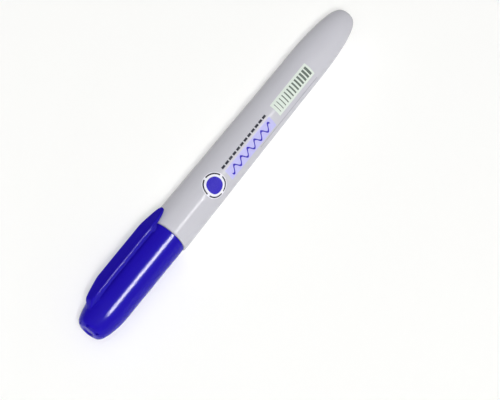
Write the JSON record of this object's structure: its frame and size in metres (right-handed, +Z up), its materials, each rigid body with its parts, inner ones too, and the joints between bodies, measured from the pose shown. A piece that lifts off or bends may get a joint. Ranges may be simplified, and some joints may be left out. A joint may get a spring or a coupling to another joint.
{
  "type": "permanent marker",
  "caption": "Felt-tip permanent marker with a pale tapered barrel, a blue pull-off cap with a pocket clip, and a blue nose with a bullet nib under the cap.",
  "frame": {"origin": "on the surface that the marker lies on, under the middle of its length and under its axis", "axes": "+X along the marker's axis, towards the cap; +Z up; the clip is turned 35 degrees from the top towards -Y"},
  "size_m": [0.139, 0.015, 0.0167],
  "materials": {
    "barrel_plastic": "gloss",
    "blue_plastic": "gloss",
    "nib_fibre": "matt, soaked with ink",
    "reservoir_fibre": "matt, soaked with ink",
    "clear_film": "gloss"
  },
  "bodies": {
    "barrel": {"barrel": "barrel_plastic", "nose_section": "blue_plastic", "nib": "nib_fibre", "reservoir_core": "reservoir_fibre", "reservoir_wrap": "clear_film"},
    "cap": {"cap_shell": "blue_plastic", "inner_cap": "blue_plastic"},
    "clip": {"pocket_clip": "blue_plastic"}
  },
  "joints": [
    {"name": "cap_pull", "type": "slide", "parent": "barrel", "child": "cap", "axis": [1, 0, 0], "range_m": [0, 0.045]},
    {"name": "clip_flex", "type": "hinge", "parent": "cap", "child": "clip", "pos_m": [0.0605, -0.00512, 0.01471], "axis": [0, 0.8192, 0.5736], "range_deg": [0, 5], "stiffness_Nm_per_rad": 0.6}
  ]
}
